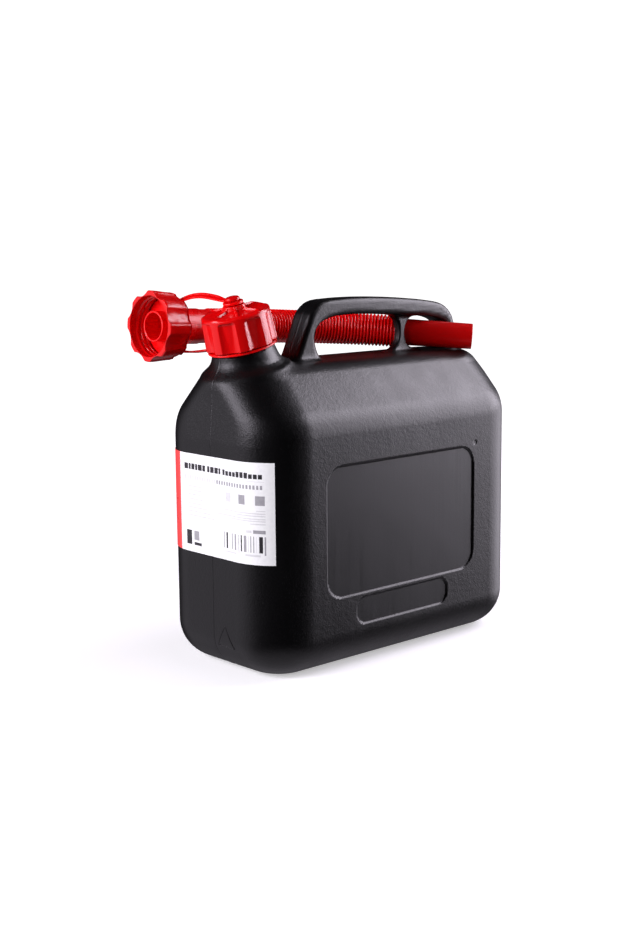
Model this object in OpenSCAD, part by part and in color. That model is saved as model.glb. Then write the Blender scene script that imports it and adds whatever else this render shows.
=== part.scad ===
// Five-litre fuel canister: hollow blow-moulded body with a carrying handle, tilted neck with
// a screw cap on a strap, and a flexible spout stored through the handle.
// Frame: X is the length with the neck at -X, Y the width, Z up. Origin: centre of the base.

/* [Body] */
// Length of the body, front end to rear end
body_l = 260; // [252:1:268]
// Width of the body over the two large sides
body_w = 130; // [126:1:134]
// Height of the flat top of the body
body_h = 217; // [215:0.5:219]
// Thickness of the moulded wall
wall = 1.8; // [1.2:0.1:2.2]
// Radius of the four upright corners, seen from above
corner_r = 38; // [34:1:42]
// Radius of the edge round the base
base_r = 29; // [24:1:32]
// Height of the bend where each large side turns in towards the handle
hip_z = 180; // [176:1:184]
// Angle of the sloping shoulder, from upright
hip_angle = 43; // [40:1:46]

/* [Side panels] */
// Depth of the recessed panels on the large sides
panel_depth = 1.2; // [0.6:0.1:1.5]
// Length of the large recessed panel
panel_l = 152; // [140:1:160]
// Height of the large recessed panel
panel_h = 94; // [84:1:98]
// Length of the small recessed panel under it
strip_l = 95; // [80:1:110]
// Height of the small recessed panel
strip_h = 20; // [14:1:20]

/* [Neck and cap] */
// Tilt of the neck towards the front
neck_tilt = 14; // [12:1:16]
// Outer radius of the neck finish that the cap screws on
neck_r = 19.9; // [19:0.1:20.1]
// Radius of the hole through the neck
mouth_r = 17.6; // [16:0.1:17.8]
// Radius over the ridges of the cap and of the spout nut
grip_r = 25.5; // [25:0.1:26]
// Radius of the threaded wall inside the cap and inside the spout nut
screw_r = 21.8; // [21.6:0.1:22]
// Turn of the cap's ridges about the neck, closed
cap_phase = 10; // [0:1:45]
// Number of ridges round the cap and the nut
ridges = 8; // [6:1:10]

/* [Handle] */
// Width of the handle across the canister
handle_w = 21; // [18:0.5:21]
// Thickness of the web that divides the window of the handle
web_w = 7; // [5:0.5:8]

/* [Spout] */
// Radius over the folds at the inlet end of the flexible pipe
fold_r = 13.2; // [12.6:0.1:13.4]
// Depth of the folds
fold_depth = 2.1; // [1.5:0.1:2.2]
// Distance from one fold to the next
fold_pitch = 2.8; // [2.6:0.1:3.5]
// Outer radius of the smooth outlet, near the folds
outlet_r = 10.35; // [10.1:0.05:10.5]
// Outer radius of the tip of the outlet
tip_r = 10; // [9.6:0.1:10]

/* [Label] */
// Height of the label wrapped round the front end
label_h = 71; // [60:1:76]
// Height of the label's lower edge above the ground
label_z = 84.3; // [80:0.1:90]
// Thickness of the label
label_t = 0.3; // [0.2:0.05:0.5]

/* [Hidden] */
$fn = 72;

// rounding radii of the body's profiles, and the slopes of its two ends
hip_r = 27;
top_r = 21;
end_r = 28;
end_top_r = 17;
front_z = 166;
front_angle = 4.4;
rear_z = 200;
rear_angle = 6.6;

// centre of the cap's lower rim; the neck's axis passes through it
neck_at = [-99.5, 0, 231.5];

// the stored spout: middle of the nut's open face, then its heading, fall and roll
spout_at = [-139, 56, 244];
spout_turn = [3.1, 2.75, 1.7];
// straight run, then a bend towards the near side, then a straight run to the tip
run_1 = 101;
bend_r = 137;
bend_a = 48;
spout_l = 281;
fold_start = 54;
fold_end = 222;

// ---- profiles of the body -------------------------------------------------

// half extent at height z of an upright profile: rounded base edge, upright wall, a rounded
// bend at height zc into a wall leaning in by angle al, and a rounded edge into the flat top
function prof(z, half, rb, zc, al, rs, ht, rt) =
    let (tl = rs * tan(al / 2),
         xt = half - (ht - zc) * tan(al),
         t2 = rt * tan((90 - al) / 2),
         zb1 = zc - tl,
         zb2 = zc + tl * cos(al),
         zt1 = ht - t2 * cos(al))
    z < rb ? half - rb + sqrt(max(rb * rb - (rb - z) * (rb - z), 0)) :
    z < zb1 ? half :
    z < zb2 ? half - rs + sqrt(max(rs * rs - (z - zb1) * (z - zb1), 0)) :
    z < zt1 ? half - (z - zc) * tan(al) :
    xt - t2 + sqrt(max(rt * rt - (z - ht + rt) * (z - ht + rt), 0));

// plan outline at height z of the body's surface moved inwards by t
function plan(z, t) =
    let (h = body_h - 2 * t,
         q = z - t,
         w = prof(q, body_w / 2 - t, base_r - t, hip_z - t - t * tan(hip_angle / 2), hip_angle, hip_r - t, h, top_r - t),
         f = prof(q, body_l / 2 - t, base_r - t, front_z - t, front_angle, end_r - t, h, end_top_r - t),
         r = prof(q, body_l / 2 - t, base_r - t, rear_z - t, rear_angle, end_r - t, h, end_top_r - t),
         c = min(corner_r - t, 0.98 * w))
    [for (k = [0 : 3], a = [0 : 9 : 90])
        let (sx = k == 0 || k == 3 ? 1 : -1,
             sy = k < 2 ? 1 : -1,
             e = sx > 0 ? r : f,
             g = a + 90 * k)
        [sx * (e - c) + c * cos(g), sy * (w - c) + c * sin(g), z]];

// heights of the rings, closer where the profiles bend
function levels(t) = concat(
    [for (a = [0 : 15 : 90]) t + (base_r - t) * (1 - cos(a))],
    [160, 169.5, 172.5, 175.5, 178.5, 181.5, 184.5, 188, 194],
    [for (a = [6, 20, 35, 50, 63, 76, 90]) body_h - t - (end_top_r - t) * (1 - sin(a))]);

// a closed skin over rings that all have n points
module skin(rings) {
    n = len(rings[0]);
    m = len(rings);
    polyhedron(
        points = [for (r = rings) each r],
        faces = concat(
            [[for (i = [0 : n - 1]) i]],
            [for (j = [0 : m - 2], i = [0 : n - 1]) each [
                [j * n + i, (j + 1) * n + i, (j + 1) * n + (i + 1) % n],
                [j * n + i, (j + 1) * n + (i + 1) % n, j * n + (i + 1) % n]]],
            [[for (i = [n - 1 : -1 : 0]) (m - 1) * n + i]]));
}

module body_solid(t) {
    skin([for (z = levels(t)) plan(z, t)]);
}

// ---- handle ---------------------------------------------------------------

// pairs of points on the handle's outer and inner outline, from the front foot to the rear foot
grip_pairs = [
    [[-62, 206], [-32, 206]],
    [[-57, 218], [-33.5, 218]],
    [[-52, 229], [-37, 228]],
    [[-46.5, 241], [-37.8, 234.5]],
    [[-41, 252], [-34.5, 240.8]],
    [[-31, 259], [-26.5, 245.6]],
    [[-14, 260.7], [-12.5, 248.1]],
    [[10, 261], [10, 248.3]],
    [[36, 260], [35, 247]],
    [[60, 258.3], [58, 245.3]],
    [[82, 256], [80, 244]],
    [[99, 252.5], [94, 241.5]],
    [[109.5, 244.5], [102, 237.5]],
    [[114, 232], [104.8, 229.5]],
    [[117, 219], [105.2, 218]],
    [[121, 206], [105.2, 206]]];

// smooth curve through a list of points
function knot(v, i) = v[max(0, min(len(v) - 1, i))];
function smooth(v, i, u) =
    let (a = knot(v, i - 1), b = knot(v, i), c = knot(v, i + 1), d = knot(v, i + 2))
    0.5 * (2 * b + (c - a) * u + (2 * a - 5 * b + 4 * c - d) * u * u + (3 * b - a - 3 * c + d) * u * u * u);

grip_outer = [for (p = grip_pairs) p[0]];
grip_inner = [for (p = grip_pairs) p[1]];

// rounded cross-section of the handle between an outer and an inner point, moved in by t
function grip_ring(o, i, t) =
    let (d = o - i, l = norm(d), u = d / l, m = (o + i) / 2,
         hx = l / 2 - t, hy = handle_w / 2 - t, r = max(0.6, min(4, hx * 0.85) - t * 0.4))
    [for (k = [0 : 3], a = [0 : 30 : 90])
        let (g = a + 90 * k,
             sx = k == 0 || k == 3 ? 1 : -1,
             sy = k < 2 ? 1 : -1,
             q = m + u * (sx * (hx - r) + r * cos(g)))
        [q[0], -sy * (hy - r) - r * sin(g), q[1]]];

module grip_solid(t) {
    skin([for (i = [0 : len(grip_pairs) - 2], u = i == 0 ? [0 : 0.5 : 1] : [0.5, 1])
        grip_ring(smooth(grip_outer, i, u), smooth(grip_inner, i, u), t)]);
}

module handle_web() {
    translate([0, web_w / 2, 0])
        rotate([90, 0, 0])
            linear_extrude(web_w)
                difference() {
                    translate([40, 212]) square([36, 36.5]);
                    translate([40, 232.5]) circle(16.5);
                    translate([75.7, 231.5]) circle(13.7);
                }
}

// ---- neck -----------------------------------------------------------------

module on_neck() {
    translate(neck_at) rotate([0, -neck_tilt, 0]) children();
}

module neck_outside() {
    rotate_extrude($fn = 96)
        polygon([[0, -34], [31, -34], [30.5, -18.5], [27.5, -16.5], [25.2, -13.5], [24, -10],
                 [22.4, -3.5], [22, -2.4], [neck_r, -2.2], [neck_r, 20.6], [0, 20.6]]);
}

module neck_inside() {
    translate([0, 0, -36]) cylinder(r = mouth_r, h = 60, $fn = 96);
    rotate_extrude($fn = 96)
        polygon([[0, -34], [27.5, -34], [27.5, -20], [25.6, -17.6], [23.4, -14.4], [22.2, -10.4],
                 [20.4, -4], [mouth_r, -1], [0, -1]]);
}

// ---- recessed panels --------------------------------------------------------

module rounded_plate(l, h, r, t) {
    linear_extrude(t)
        union() {
            translate([-l / 2 + r, -h / 2]) square([l - 2 * r, h]);
            translate([-l / 2, -h / 2 + r]) square([l, h - 2 * r]);
            for (x = [-1, 1], y = [-1, 1])
                translate([x * (l / 2 - r), y * (h / 2 - r)]) circle(r);
        }
}

// the two recesses of one large side, cut g deeper than the surface and enlarged by e
module side_panels(g, e) {
    for (s = [0, 1])
        mirror([0, s, 0])
            translate([0, -body_w / 2 + g, 0])
                rotate([90, 0, 0]) {
                    translate([-3, 101.3, 0]) rounded_plate(panel_l + e, panel_h + e, 14, g + 2);
                    translate([-3.4, 41.3, 0]) rounded_plate(strip_l + e, strip_h + e, 9, g + 2);
                }
}

module canister_shell() {
    color([0.09, 0.09, 0.10])
        difference() {
            union() {
                body_solid(0);
                grip_solid(0);
                handle_web();
                on_neck() neck_outside();
            }
            difference() {
                union() {
                    body_solid(wall);
                    on_neck() neck_inside();
                }
                side_panels(panel_depth + wall, 2 * wall);
            }
            grip_solid(2);
            side_panels(panel_depth, 0);
        }
}

// ---- label ------------------------------------------------------------------

module label_outline(g) {
    for (y = [-1, 1])
        translate([-body_l / 2 + corner_r, y * (body_w / 2 - corner_r)]) circle(corner_r + g, $fn = 144);
    translate([-body_l / 2 - g, -body_w / 2 + corner_r]) square([corner_r + g, body_w - 2 * corner_r]);
}

module label() {
    color([0.93, 0.93, 0.93])
        translate([0, 0, label_z])
            linear_extrude(label_h)
                difference() {
                    intersection() {
                        label_outline(0.03 + label_t);
                        translate([-body_l / 2 - 2, -54]) square([25, 108]);
                    }
                    label_outline(0.03);
                    translate([-body_l / 2 + 20, -body_w / 2 + corner_r]) square([20, body_w - 2 * corner_r]);
                }
}

// ---- cap --------------------------------------------------------------------

// the hollows between the ridges, each with an arched end
module grip_hollows(low, high) {
    for (k = [0 : ridges - 1])
        rotate([0, 0, (k + 0.5) * 360 / ridges])
            translate([grip_r + 14, 0, 0]) {
                translate([0, 0, low]) cylinder(r = 16, h = high - low, $fn = 96);
                translate([0, 0, high]) sphere(r = 16, $fn = 96);
            }
}

module cap_turret() {
    rotate_extrude()
        polygon([[0, 21], [22.8, 21], [22.8, 24.5], [9.4, 25.3], [8.2, 26.4],
                 [7.6, 29], [5.2, 29.3], [4, 29.5], [4, 32], [5.2, 32.3], [5.4, 33.4], [4.6, 34.4],
                 [2.8, 35], [0, 35.1]]);
    for (k = [0 : ridges - 1])
        rotate([0, 0, k * 360 / ridges])
            translate([0, 0.6, 0])
                rotate([90, 0, 0])
                    linear_extrude(1.2) polygon([[6, 22], [22.3, 22], [22.3, 25], [9, 27], [6, 28.5]]);
}

module cap() {
    color([0.80, 0.03, 0.04])
        on_neck() rotate([0, 0, cap_phase]) {
            difference() {
                union() {
                    rotate_extrude($fn = 96)
                        polygon([[0, 0], [grip_r, 0], [grip_r - 1, 22], [grip_r - 1.8, 23.8], [22.8, 24.5], [0, 24.5]]);
                    cap_turret();
                }
                translate([0, 0, -1]) cylinder(r = screw_r, h = 23.5, $fn = 96);
                grip_hollows(-4, 16);
            }
        }
}

// soft disc that seals the mouth under the roof of the cap
module cap_seal() {
    color([0.85, 0.85, 0.82])
        on_neck() translate([0, 0, 20.65]) cylinder(r = 20.6, h = 1.7, $fn = 96);
}

// ---- tether -----------------------------------------------------------------

// middle line of the strap: from the ring on the neck, under and round the stored pipe, and
// over to the eye on the knob
strap_line = [[-108.7, 21.7, 227.2], [-110.5, 29, 226.2], [-112.5, 40, 225], [-113.5, 52, 225.2], [-114, 64, 228.8],
              [-114.2, 71.5, 238], [-114, 71.5, 247.5], [-113.4, 66, 255.5], [-112.6, 57, 260.5], [-111.6, 48, 263],
              [-110.6, 39.5, 264.8], [-109.4, 30, 265.3], [-108.2, 19, 264.2], [-107.2, 9.5, 262.3], [-107, 6.2, 261.9]];
// the strap's inner side faces this point; its upper run leans down towards the neck's side
function strap_mid(p) =
    [-112 + (p[2] < 250 ? 0 : 13 * max(0, min(1, (60 - p[1]) / 12, (p[1] - 5) / 12))), 50, 246];

function strap_ring(p, d) =
    let (t = d / norm(d),
         s = cross(t, p - strap_mid(p)), w = s / norm(s),
         n = cross(w, t))
    [for (c = [[3, -0.75], [-3, -0.75], [-3, 0.75], [3, 0.75]]) p + w * c[0] + n * c[1]];

module cap_tether() {
    color([0.80, 0.03, 0.04]) {
        on_neck() {
            difference() {
                translate([0, 0, -2]) cylinder(r = 24.6, h = 1.3, $fn = 96);
                translate([0, 0, -3]) cylinder(r = 20.7, h = 4, $fn = 96);
            }
            difference() {
                translate([0, 0, 29.7]) cylinder(r = 7.3, h = 1.8);
                translate([0, 0, 28]) cylinder(r = 4.4, h = 5);
            }
        }
        skin([for (i = [0 : len(strap_line) - 2], u = i == 0 ? [0 : 0.5 : 1] : [0.5, 1])
            strap_ring(smooth(strap_line, i, u), smooth(strap_line, i, u + 0.02) - smooth(strap_line, i, u - 0.02))]);
    }
}

// ---- spout --------------------------------------------------------------------

module on_spout() {
    translate(spout_at) rotate(spout_turn) children();
}

// place and direction of the pipe's middle line at the distance s from the nut's face
function bent(s) = min(max((s - run_1) / bend_r * 180 / PI, 0), bend_a);
function way(s) =
    let (a = bent(s),
         l = run_1 + bend_r * bend_a * PI / 180,
         q = max(0, s - l))
    [min(s, run_1) + bend_r * sin(a) + q * cos(a), -bend_r * (1 - cos(a)) - q * sin(a), 0];

function hoop(s, r, n) =
    let (a = bent(s), c = way(s))
    [for (k = [0 : n - 1])
        let (g = k * 360 / n)
        c + r * [cos(g) * sin(a), cos(g) * cos(a), sin(g)]];

folds = floor((fold_end - fold_start) / fold_pitch);
fold_sides = 18;

// the folded part: outer rings over crests and roots, then a plain bore back to the start
module folded_pipe() {
    n = fold_sides;
    step = (fold_end - fold_start) / folds;
    outer = [for (k = [0 : 2 * folds])
        let (s = fold_start + k * step / 2, c = fold_r - 0.7 * k / (2 * folds))
        hoop(s, k % 2 == 0 ? c - fold_depth - (k == 2 * folds ? 0.25 : 0) : c, n)];
    inner = [for (k = [14 : -1 : 0])
        hoop(fold_start + k * (fold_end - fold_start) / 14, 9.75 - 0.25 * k / 14, n)];
    rings = concat(outer, inner);
    m = len(rings);
    polyhedron(
        points = [for (r = rings) each r],
        faces = [for (j = [0 : m - 1], i = [0 : n - 1])
            let (a = j * n + i, b = ((j + 1) % m) * n + i,
                 c = ((j + 1) % m) * n + (i + 1) % n, d = j * n + (i + 1) % n)
            each [[a, b, c], [a, c, d]]]);
}

module spout_hose() {
    color([0.82, 0.02, 0.03])
        on_spout() {
            difference() {
                rotate([0, 90, 0]) {
                    translate([0, 0, 4]) cylinder(r = 11, h = 13);
                    translate([0, 0, 15.2]) cylinder(r = 20.8, h = 1.7, $fn = 96);
                    translate([0, 0, 16]) cylinder(r = 12.85, h = fold_start + 1.2 - 16);
                }
                rotate([0, 90, 0]) translate([0, 0, 2]) cylinder(r = 9.6, h = fold_start);
            }
            folded_pipe();
            translate(way(fold_end - 1.2))
                rotate([0, 90, -bend_a]) {
                    tip = spout_l - fold_end + 1.2;
                    difference() {
                        union() {
                            cylinder(r = outlet_r, h = tip - 16);
                            cylinder(r = tip_r, h = tip);
                        }
                        translate([0, 0, -1]) cylinder(r = 8.9, h = tip + 2);
                    }
                }
        }
}

module spout_nut() {
    color([0.80, 0.03, 0.04])
        on_spout() rotate([0, 90, 0])
            difference() {
                union() {
                    cylinder(r = grip_r, h = 18, $fn = 96);
                    translate([0, 0, 17]) cylinder(r = 24.2, h = 3, $fn = 96);
                }
                translate([0, 0, -1]) cylinder(r = screw_r, h = 18.2, $fn = 96);
                cylinder(r = 13.2, h = 24);
                grip_hollows(-4, 10);
            }
}

canister_shell();
label();
cap();
cap_seal();
cap_tether();
spout_hose();
spout_nut();
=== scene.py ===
import math

import bmesh
import bpy
import numpy as np
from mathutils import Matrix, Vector


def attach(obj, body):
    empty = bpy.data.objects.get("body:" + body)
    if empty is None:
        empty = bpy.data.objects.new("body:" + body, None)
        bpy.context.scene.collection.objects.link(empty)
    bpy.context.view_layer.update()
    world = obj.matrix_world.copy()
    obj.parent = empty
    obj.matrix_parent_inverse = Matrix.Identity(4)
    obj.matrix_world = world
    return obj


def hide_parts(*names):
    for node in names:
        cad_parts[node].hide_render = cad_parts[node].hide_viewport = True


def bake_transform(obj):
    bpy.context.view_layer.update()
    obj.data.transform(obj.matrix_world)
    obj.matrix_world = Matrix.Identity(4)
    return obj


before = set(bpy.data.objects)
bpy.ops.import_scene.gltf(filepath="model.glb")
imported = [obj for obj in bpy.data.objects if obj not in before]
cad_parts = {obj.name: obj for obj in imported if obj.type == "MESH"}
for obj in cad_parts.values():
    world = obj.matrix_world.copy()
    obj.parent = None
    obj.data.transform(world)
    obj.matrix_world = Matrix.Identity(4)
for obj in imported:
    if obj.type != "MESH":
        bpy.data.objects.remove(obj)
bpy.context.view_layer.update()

MM = 0.001
pi = math.pi

# ---- camera ---------------------------------------------------------------------------------

CAM_AT = Vector((-0.74502, -0.77819, 0.30815))
az, el, roll = (math.radians(a) for a in (-42.36, 9.18, -0.57))
back = Vector((math.sin(az) * math.cos(el), -math.cos(az) * math.cos(el), math.sin(el)))
right = Vector((0, 0, 1)).cross(back).normalized()
up = back.cross(right)
right, up = math.cos(roll) * right + math.sin(roll) * up, -math.sin(roll) * right + math.cos(roll) * up

cam_data = bpy.data.cameras.new("Camera")
cam_data.lens = 55.54
cam_data.sensor_width = 36
cam_data.sensor_fit = "AUTO"
cam_data.clip_start = 0.05
cam_data.clip_end = 60
cam = bpy.data.objects.new("Camera", cam_data)
bpy.context.scene.collection.objects.link(cam)
m = cam.matrix_world.copy()
for i in range(3):
    m[i][0], m[i][1], m[i][2], m[i][3] = right[i], up[i], back[i], CAM_AT[i]
cam.matrix_world = m
bpy.context.scene.camera = cam

# ---- materials ------------------------------------------------------------------------------


class Look:
    """A Principled material with a few helpers for its nodes."""

    def __init__(self, name, **fixed):
        self.m = bpy.data.materials.new(name)
        self.m.use_nodes = True
        self.t = self.m.node_tree
        self.p = self.t.nodes["Principled BSDF"]
        self.coords = self.t.nodes.new("ShaderNodeTexCoord")
        for k, v in fixed.items():
            self.p.inputs[k.replace("_", " ")].default_value = v

    def node(self, kind, **values):
        n = self.t.nodes.new(kind)
        for k, v in values.items():
            if hasattr(n, k):
                setattr(n, k, v)
            else:
                n.inputs[k.replace("_", " ")].default_value = v
        return n

    def link(self, a, b):
        self.t.links.new(a, b)

    def noise(self, scale, detail=2.0, rough=0.5, stretch=None):
        n = self.node("ShaderNodeTexNoise", Scale=scale, Detail=detail, Roughness=rough)
        if stretch:
            mp = self.node("ShaderNodeMapping", Scale=stretch)
            self.link(self.coords.outputs["Object"], mp.inputs["Vector"])
            self.link(mp.outputs["Vector"], n.inputs["Vector"])
        else:
            self.link(self.coords.outputs["Object"], n.inputs["Vector"])
        return n.outputs["Fac"]

    def ramp(self, fac, low, high, a, b):
        """maps fac from low..high to a..b"""
        n = self.node("ShaderNodeMapRange")
        n.inputs["From Min"].default_value = low
        n.inputs["From Max"].default_value = high
        n.inputs["To Min"].default_value = a
        n.inputs["To Max"].default_value = b
        self.link(fac, n.inputs["Value"])
        return n.outputs["Result"]

    def colours(self, fac, low, high, a, b):
        n = self.node("ShaderNodeValToRGB")
        n.color_ramp.elements[0].position = low
        n.color_ramp.elements[1].position = high
        n.color_ramp.elements[0].color = (*a, 1)
        n.color_ramp.elements[1].color = (*b, 1)
        self.link(fac, n.inputs["Fac"])
        return n.outputs["Color"]

    def rough(self, out):
        self.link(out, self.p.inputs["Roughness"])

    def base(self, out):
        self.link(out, self.p.inputs["Base Color"])

    def bump(self, heights):
        """heights: pairs of (height output, depth in metres)"""
        last = None
        for out, depth in heights:
            b = self.node("ShaderNodeBump", Strength=1.0, Distance=depth)
            self.link(out, b.inputs["Height"])
            if last:
                self.link(last.outputs["Normal"], b.inputs["Normal"])
            last = b
        self.link(last.outputs["Normal"], self.p.inputs["Normal"])


# satin black polyethylene with a fine moulded grain
black = Look("black_plastic", IOR=1.5, Specular_IOR_Level=0.5)
cloud = black.noise(9, 3)
grain = black.noise(950, 2)
wear = black.noise(60, 4, 0.6, (1, 1, 0.25))
black.base(black.colours(cloud, 0.3, 0.7, (0.0010, 0.0009, 0.0011), (0.0018, 0.0016, 0.0019)))
black.rough(black.ramp(wear, 0.3, 0.7, 0.34, 0.41))
black.bump([(grain, 0.00012), (black.noise(360, 2), 0.00011), (black.noise(45, 2), 0.00012)])

# the smoother inside of the recessed panels, with faint drawn streaks
panel = Look("black_panel", IOR=1.5, Specular_IOR_Level=0.5)
streak = panel.noise(1.0, 3, 0.6, (330, 330, 9))
panel.base(panel.colours(streak, 0.3, 0.7, (0.0010, 0.0009, 0.0011), (0.0022, 0.0019, 0.0023)))
panel.rough(panel.ramp(streak, 0.3, 0.7, 0.32, 0.43))
panel.bump([(panel.noise(1500, 1), 0.00003), (streak, 0.00003), (panel.noise(16, 2), 0.0003)])


def red_look(name, colour, dark, rough_a, rough_b, sss, grain_depth):
    k = Look(name, IOR=1.5, Specular_IOR_Level=0.55, Subsurface_Weight=sss, Subsurface_Scale=0.004)
    k.p.inputs["Subsurface Radius"].default_value = (1.0, 0.12, 0.08)
    f = k.noise(35, 3)
    k.base(k.colours(f, 0.3, 0.7, dark, colour))
    k.rough(k.ramp(k.noise(140, 3), 0.3, 0.7, rough_a, rough_b))
    k.bump([(k.noise(700, 2), grain_depth), (k.noise(90, 2), grain_depth * 1.5)])
    return k


red = red_look("red_gloss", (0.68, 0.0012, 0.0022), (0.62, 0.0008, 0.0016), 0.19, 0.27, 0.10, 0.00003)
red_soft = red_look("red_flexible", (0.86, 0.0012, 0.0022), (0.80, 0.0008, 0.0016), 0.24, 0.34, 0.35, 0.00003)
red_clear = red_look("red_translucent", (0.52, 0.0006, 0.0010), (0.46, 0.0005, 0.0008), 0.30, 0.38, 0.30, 0.000008)


def print_look(name, colour, shade, rough=0.3):
    k = Look(name, IOR=1.46, Specular_IOR_Level=0.5)
    k.base(k.colours(k.noise(400, 2), 0.35, 0.65, shade, colour))
    k.rough(k.ramp(k.noise(120, 2), 0.3, 0.7, rough - 0.04, rough + 0.06))
    k.bump([(k.noise(160, 2), 0.00001), (k.noise(25, 1), 0.00006)])
    return k


paper = print_look("label_white", (0.86, 0.855, 0.875), (0.82, 0.815, 0.84))
paper_red = print_look("label_red", (0.88, 0.075, 0.075), (0.84, 0.065, 0.065))
ink_dark = print_look("label_dark", (0.030, 0.028, 0.032), (0.024, 0.022, 0.026))
ink_grey = print_look("label_grey", (0.34, 0.33, 0.36), (0.30, 0.29, 0.32))
ink_pale = print_look("label_pale", (0.66, 0.65, 0.68), (0.62, 0.61, 0.64))

seal_look = Look("seal_foam", IOR=1.45, Specular_IOR_Level=0.3)
seal_look.base(seal_look.colours(seal_look.noise(300, 3), 0.3, 0.7, (0.50, 0.49, 0.45), (0.62, 0.61, 0.56)))
seal_look.rough(seal_look.ramp(seal_look.noise(200, 2), 0.3, 0.7, 0.6, 0.8))
seal_look.bump([(seal_look.noise(1800, 3), 0.0001)])

# ---- mesh helpers ---------------------------------------------------------------------------


def tidy(mesh):
    """consistent outward normals"""
    bm = bmesh.new()
    bm.from_mesh(mesh)
    bmesh.ops.recalc_face_normals(bm, faces=bm.faces)
    bm.to_mesh(mesh)
    bm.free()


def make(name, verts, faces, materials, smooth_angle=40, material_of=None, closed=True):
    mesh = bpy.data.meshes.new(name)
    mesh.from_pydata((np.asarray(verts, float) * MM).tolist(), [], [list(map(int, f)) for f in faces])
    for k in materials:
        mesh.materials.append(k.m)
    if material_of is not None:
        mesh.polygons.foreach_set("material_index", np.asarray(material_of, dtype=np.int32))
    if closed:
        tidy(mesh)
    mesh.polygons.foreach_set("use_smooth", [True] * len(mesh.polygons))
    mesh.update()
    if smooth_angle:
        mesh.set_sharp_from_angle(angle=math.radians(smooth_angle))
    ob = bpy.data.objects.new(name, mesh)
    bpy.context.scene.collection.objects.link(ob)
    return ob


def quads(m, n, wrap_m=False):
    """faces over m rings of n points, each ring closed"""
    j = np.arange(m if wrap_m else m - 1)
    i = np.arange(n)
    J, I = np.meshgrid(j, i, indexing="ij")
    J2, I2 = (J + 1) % m, (I + 1) % n
    return np.stack([J * n + I, J2 * n + I, J2 * n + I2, J * n + I2], -1).reshape(-1, 4)


def rounded(points, r, n=4):
    """an open outline with its corners rounded; r is one radius, or one for each corner"""
    P = [np.array(p, float) for p in points]
    out = [P[0]]
    for k in range(1, len(P) - 1):
        a, b, c = P[k - 1], P[k], P[k + 1]
        u, v = a - b, c - b
        lu, lv = np.linalg.norm(u), np.linalg.norm(v)
        u, v = u / lu, v / lv
        ang = math.acos(max(-1, min(1, float(u @ v))))
        rad = r[k] if isinstance(r, (list, tuple)) else r
        t = min(rad / max(math.tan(ang / 2), 1e-6), 0.48 * lu, 0.48 * lv) if ang < 3.1 else 0
        if t < 1e-3:
            out.append(b)
            continue
        for q in np.linspace(0, 1, n + 1):
            out.append((1 - q) ** 2 * (b + u * t) + 2 * q * (1 - q) * b + q * q * (b + v * t))
    out.append(P[-1])
    return np.array(out)


def dense(points, step):
    """more points on an outline, so that no stretch is longer than step (a number or a function)"""
    out = [points[0]]
    for a, b in zip(points[:-1], points[1:]):
        s = step((a + b) / 2) if callable(step) else step
        n = max(1, int(math.ceil(np.linalg.norm(b - a) / s)))
        out += [a + (b - a) * (k + 1) / n for k in range(n)]
    return np.array(out)


def lathe(profile, angles, shape=None, closed=False):
    """verts and faces of an outline (r, h) turned through the angles. An end with r == 0 is one
    point. shape moves the points: (r, h, angle) -> (r, h)."""
    pts = np.asarray(profile, float)
    lo, hi = (pts[0, 0] < 1e-6), (pts[-1, 0] < 1e-6)
    body = pts[(1 if lo else 0):(len(pts) - 1 if hi else len(pts))]
    R = np.repeat(body[:, :1], len(angles), 1)
    H = np.repeat(body[:, 1:], len(angles), 1)
    A = np.repeat(np.asarray(angles)[None, :], len(body), 0)
    if shape:
        R, H = shape(R, H, A)
    V = np.stack([R * np.cos(A), R * np.sin(A), H], -1).reshape(-1, 3)
    F = quads(len(body), len(angles), closed).tolist()
    n = len(angles)
    if lo:
        V = np.vstack([V, [[0, 0, pts[0, 1]]]])
        F += [[len(V) - 1, i, (i + 1) % n] for i in range(n)]
    if hi:
        V = np.vstack([V, [[0, 0, pts[-1, 1]]]])
        o = (len(body) - 1) * n
        F += [[len(V) - 1, o + (i + 1) % n, o + i] for i in range(n)]
    return V, F


def spline(points, per):
    """Catmull-Rom curve through the points, per steps for each stretch"""
    P = np.asarray(points, float)
    out = []
    for i in range(len(P) - 1):
        a, b, c, d = P[max(i - 1, 0)], P[i], P[i + 1], P[min(i + 2, len(P) - 1)]
        for u in np.arange(per) / per:
            out.append(0.5 * (2 * b + (c - a) * u + (2 * a - 5 * b + 4 * c - d) * u * u
                              + (3 * b - a - 3 * c + d) * u ** 3))
    out.append(P[-1])
    return np.array(out)


def smoothstep(lo, hi, v):
    t = np.clip((v - lo) / (hi - lo), 0, 1)
    return t * t * (3 - 2 * t)


def smin(a, b, k):
    h = np.maximum(k - np.abs(a - b), 0) / k
    return np.minimum(a, b) - h * h * k / 4


def turn(deg):
    a, b, c = (math.radians(t) for t in deg)
    rx = np.array([[1, 0, 0], [0, math.cos(a), -math.sin(a)], [0, math.sin(a), math.cos(a)]])
    ry = np.array([[math.cos(b), 0, math.sin(b)], [0, 1, 0], [-math.sin(b), 0, math.cos(b)]])
    rz = np.array([[math.cos(c), -math.sin(c), 0], [math.sin(c), math.cos(c), 0], [0, 0, 1]])
    return rz @ ry @ rx


NECK_AT = np.array([-99.5, 0, 231.5])
NECK = turn((0, -14, 0))
SPOUT_AT = np.array([-139, 56, 244.0])
SPOUT = turn((3.1, 2.75, 1.7))


def on_neck(v):
    return np.asarray(v) @ NECK.T + NECK_AT


def on_spout(v):
    return np.asarray(v) @ SPOUT.T + SPOUT_AT


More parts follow.
